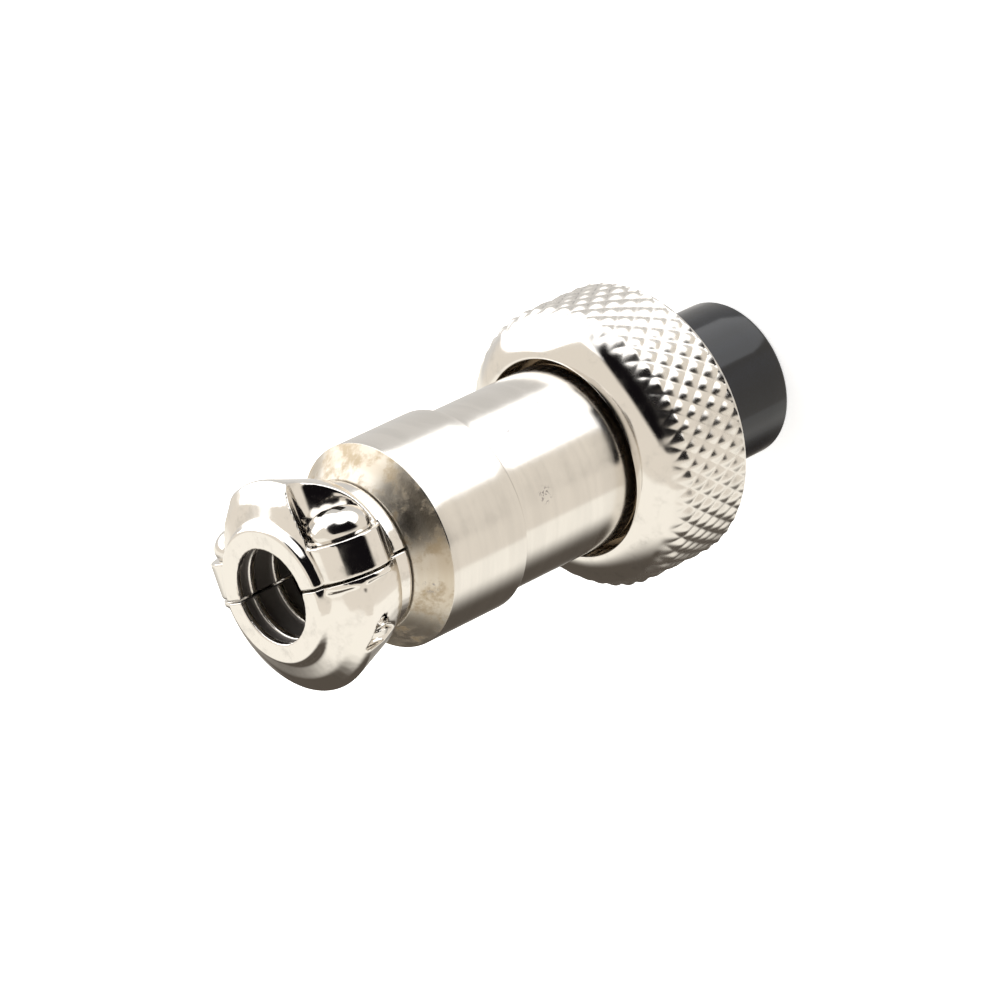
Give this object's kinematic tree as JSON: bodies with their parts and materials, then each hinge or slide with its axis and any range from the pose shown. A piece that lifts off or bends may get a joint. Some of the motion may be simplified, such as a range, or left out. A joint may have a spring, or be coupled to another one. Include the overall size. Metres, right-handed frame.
{
  "type": "circular cable plug",
  "caption": "Circular multi-pole cable plug: knurled coupling nut, turned shell, black socket insert and a split clamp that grips the cable.",
  "frame": {"origin": "centre of the mating face, the flat end of the black insert, which is also the lowest point", "axes": "+Z along the plug's axis from the mating face to the cable end, +X normal to the clamp's split plane towards the half with the screw heads, +Y along the split plane"},
  "size_m": [0.019, 0.019, 0.0413],
  "materials": {
    "nickel_shell": "satin bright nickel plate, fine turning marks",
    "nickel_nut": "bright nickel plate",
    "nickel_casting": "bright nickel plate on a casting",
    "nickel_inner": "plain nickel plate",
    "screw_plate": "bright zinc or nickel plate",
    "spring_steel": "plain",
    "black_insulator": "moulded, satin",
    "contact_plate": "silver plated brass"
  },
  "bodies": {
    "shell": {"rear_shell": "nickel_shell", "insert_holder": "nickel_inner", "insert": "black_insulator", "retaining_ring": "spring_steel", "lock_screw": "screw_plate", "contact_1": "contact_plate", "contact_2": "contact_plate", "contact_3": "contact_plate", "contact_4": "contact_plate", "contact_5": "contact_plate", "contact_6": "contact_plate", "contact_7": "contact_plate", "contact_8": "contact_plate", "contact_9": "contact_plate"},
    "nut_carrier": {"slip_washer": "nickel_inner"},
    "nut": {"coupling_nut": "nickel_nut"},
    "clamp_b": {"clamp_half_b": "nickel_casting"},
    "clamp_a": {"clamp_half_a": "nickel_casting"},
    "screw_a": {"clamp_screw_a": "screw_plate"},
    "screw_b": {"clamp_screw_b": "screw_plate"}
  },
  "joints": [
    {"name": "nut_slide", "type": "slide", "parent": "shell", "child": "nut_carrier", "axis": [0, 0, 1], "range_m": [0, 0.0097]},
    {"name": "nut_spin", "type": "hinge", "parent": "nut_carrier", "child": "nut", "pos_m": [0, 0, 0.0148], "axis": [0, 0, 1], "continuous": true},
    {"name": "clamp_swivel", "type": "hinge", "parent": "shell", "child": "clamp_b", "pos_m": [0, 0, 0.035], "axis": [0, 0, 1], "continuous": true},
    {"name": "clamp_open", "type": "slide", "parent": "clamp_b", "child": "clamp_a", "axis": [1, 0, 0], "range_m": [0, 0.0012]},
    {"name": "screw_a_turn", "type": "hinge", "parent": "clamp_a", "child": "screw_a", "pos_m": [0.0024, -0.0047, 0.03825], "axis": [1, 0, 0], "range_deg": [0, 1081]},
    {"name": "screw_b_turn", "type": "hinge", "parent": "clamp_a", "child": "screw_b", "pos_m": [0.0024, 0.0047, 0.03825], "axis": [1, 0, 0], "range_deg": [0, 1081]}
  ],
  "couplings": [
    {"joint": "screw_a_turn", "follows": "clamp_open", "rad_per_m": 15708},
    {"joint": "screw_b_turn", "follows": "clamp_open", "rad_per_m": 15708}
  ]
}
